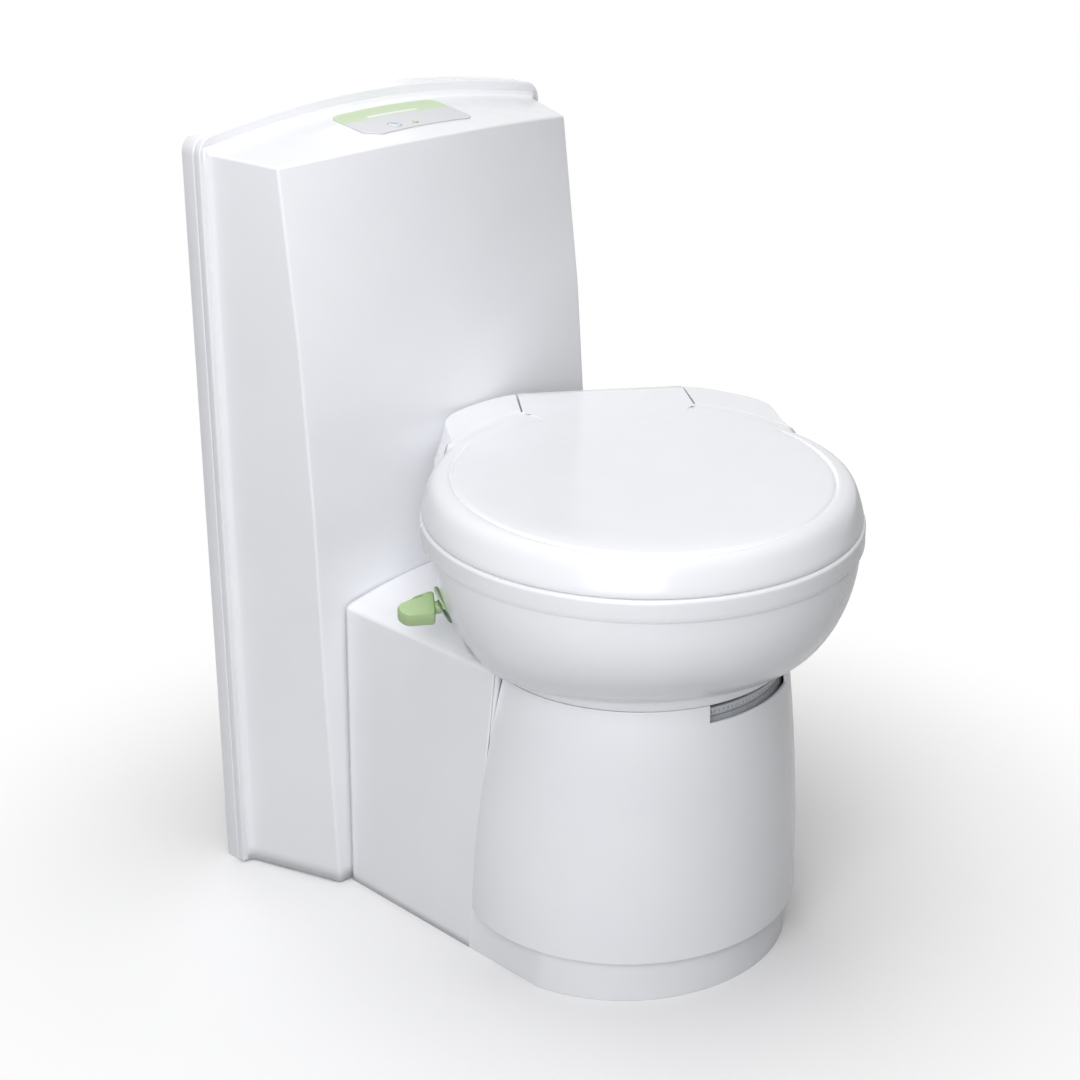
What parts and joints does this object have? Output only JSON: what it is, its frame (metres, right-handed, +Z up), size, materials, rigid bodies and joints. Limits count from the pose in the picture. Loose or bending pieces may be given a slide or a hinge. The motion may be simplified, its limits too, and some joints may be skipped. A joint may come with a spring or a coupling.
{
  "type": "urine-diverting toilet",
  "caption": "Toilet with a swivelling bowl on a column in front of a tall console; a diverting insert parts urine and solids into a container drawn out at the back.",
  "frame": {"origin": "on the floor, below the axis that the bowl swivels on", "axes": "+Z up, +Y towards the console's back, +X to the right of someone who faces the console"},
  "size_m": [0.4792, 0.6442, 0.82],
  "materials": {
    "gloss_white": "moulded gloss white",
    "panel_green": "satin membrane panel",
    "key_white": "gloss push key",
    "lens_clear": "clear light pipe",
    "board_green": "fibreglass circuit board",
    "steel": "stainless steel, brushed",
    "black_plastic": "moulded black nylon",
    "hose_rubber": "reinforced rubber hose",
    "grey_plastic": "moulded grey polypropylene",
    "dark_plastic": "moulded dark grey polypropylene",
    "filter_carbon": "carbon filter fleece",
    "tank_natural": "natural polyethylene",
    "cap_blue": "moulded blue polyethylene",
    "knob_green": "moulded sage green",
    "gear_acetal": "acetal",
    "tyre_rubber": "moulded rubber wheel"
  },
  "bodies": {
    "base": {"back_plate": "gloss_white", "console_cover": "gloss_white", "control_panel": "panel_green", "status_lens": "lens_clear", "circuit_board": "board_green", "water_inlet": "steel", "flush_valve": "black_plastic", "rinse_nozzle": "black_plastic", "rinse_hose": "hose_rubber", "fan_housing": "black_plastic", "odour_filter": "filter_carbon", "plinth_housing": "gloss_white", "column_skirt": "gloss_white", "column_core": "grey_plastic", "turntable_ring_lower": "grey_plastic", "bearing_ring": "gear_acetal", "urine_trough": "tank_natural", "base_pan": "dark_plastic", "rail_left": "gear_acetal", "rail_right": "gear_acetal"},
    "key": {"flush_key": "key_white"},
    "fan": {"fan_rotor": "black_plastic"},
    "bowl": {"turntable_ring_upper": "grey_plastic", "bowl_shell": "gloss_white", "bowl_insert": "gloss_white", "drain_grate": "steel", "valve_frame": "grey_plastic", "knob_rose": "knob_green"},
    "seat": {"seat_ring": "gloss_white", "hinge_wing_left": "gloss_white", "hinge_wing_right": "gloss_white", "hinge_pin": "steel"},
    "lid": {"lid_shell": "gloss_white"},
    "knob": {"valve_knob": "knob_green", "knob_shaft": "steel", "knob_gear": "gear_acetal"},
    "flap": {"solids_flap": "dark_plastic", "flap_shaft": "steel", "flap_gear": "gear_acetal"},
    "container": {"container_tray": "dark_plastic", "solids_bin": "dark_plastic", "urine_tank": "tank_natural"},
    "handle": {"container_handle": "dark_plastic"},
    "cap": {"tank_cap": "cap_blue"},
    "left_wheel": {"wheel_left": "tyre_rubber"},
    "right_wheel": {"wheel_right": "tyre_rubber"}
  },
  "joints": [
    {"name": "bowl_swivel", "type": "hinge", "parent": "base", "child": "bowl", "pos_m": [0, 0, 0.31], "axis": [0, 0, 1], "range_deg": [-54, 126]},
    {"name": "seat_lift", "type": "slide", "parent": "bowl", "child": "seat", "axis": [0, 0, 1], "range_m": [0, 0.03]},
    {"name": "lid_hinge", "type": "hinge", "parent": "seat", "child": "lid", "pos_m": [0.13225, 0.18203, 0.487], "axis": [-0.809, 0.5878, 0], "range_deg": [0, 68]},
    {"name": "knob_turn", "type": "hinge", "parent": "bowl", "child": "knob", "pos_m": [-0.17475, 0.12696, 0.3666], "axis": [0.809, -0.5878, 0], "range_deg": [0, 90]},
    {"name": "flap_turn", "type": "hinge", "parent": "bowl", "child": "flap", "pos_m": [-0.01058, -0.01456, 0.309], "axis": [0.809, -0.5878, 0], "range_deg": [-90, 0]},
    {"name": "key_press", "type": "slide", "parent": "base", "child": "key", "axis": [0, 0, -1], "range_m": [0, 0.0008], "stiffness_N_per_m": 1000, "springref_m": -0.0015},
    {"name": "fan_spin", "type": "hinge", "parent": "base", "child": "fan", "pos_m": [0.11, 0.3765, 0.6], "axis": [0, 1, 0], "continuous": true},
    {"name": "container_slide", "type": "slide", "parent": "base", "child": "container", "axis": [0, 1, 0], "range_m": [0, 0.45]},
    {"name": "handle_swing", "type": "hinge", "parent": "container", "child": "handle", "pos_m": [0, 0.3785, 0.124], "axis": [1, 0, 0], "range_deg": [0, 90]},
    {"name": "cap_turn", "type": "hinge", "parent": "container", "child": "cap", "pos_m": [0.09, 0.33, 0.193], "axis": [0, 0, 1], "continuous": true},
    {"name": "left_wheel_spin", "type": "hinge", "parent": "container", "child": "left_wheel", "pos_m": [-0.143, 0.35, 0.024], "axis": [1, 0, 0], "continuous": true},
    {"name": "right_wheel_spin", "type": "hinge", "parent": "container", "child": "right_wheel", "pos_m": [0.143, 0.35, 0.024], "axis": [1, 0, 0], "continuous": true}
  ],
  "couplings": [
    {"joint": "flap_turn", "follows": "knob_turn", "ratio": -1}
  ]
}
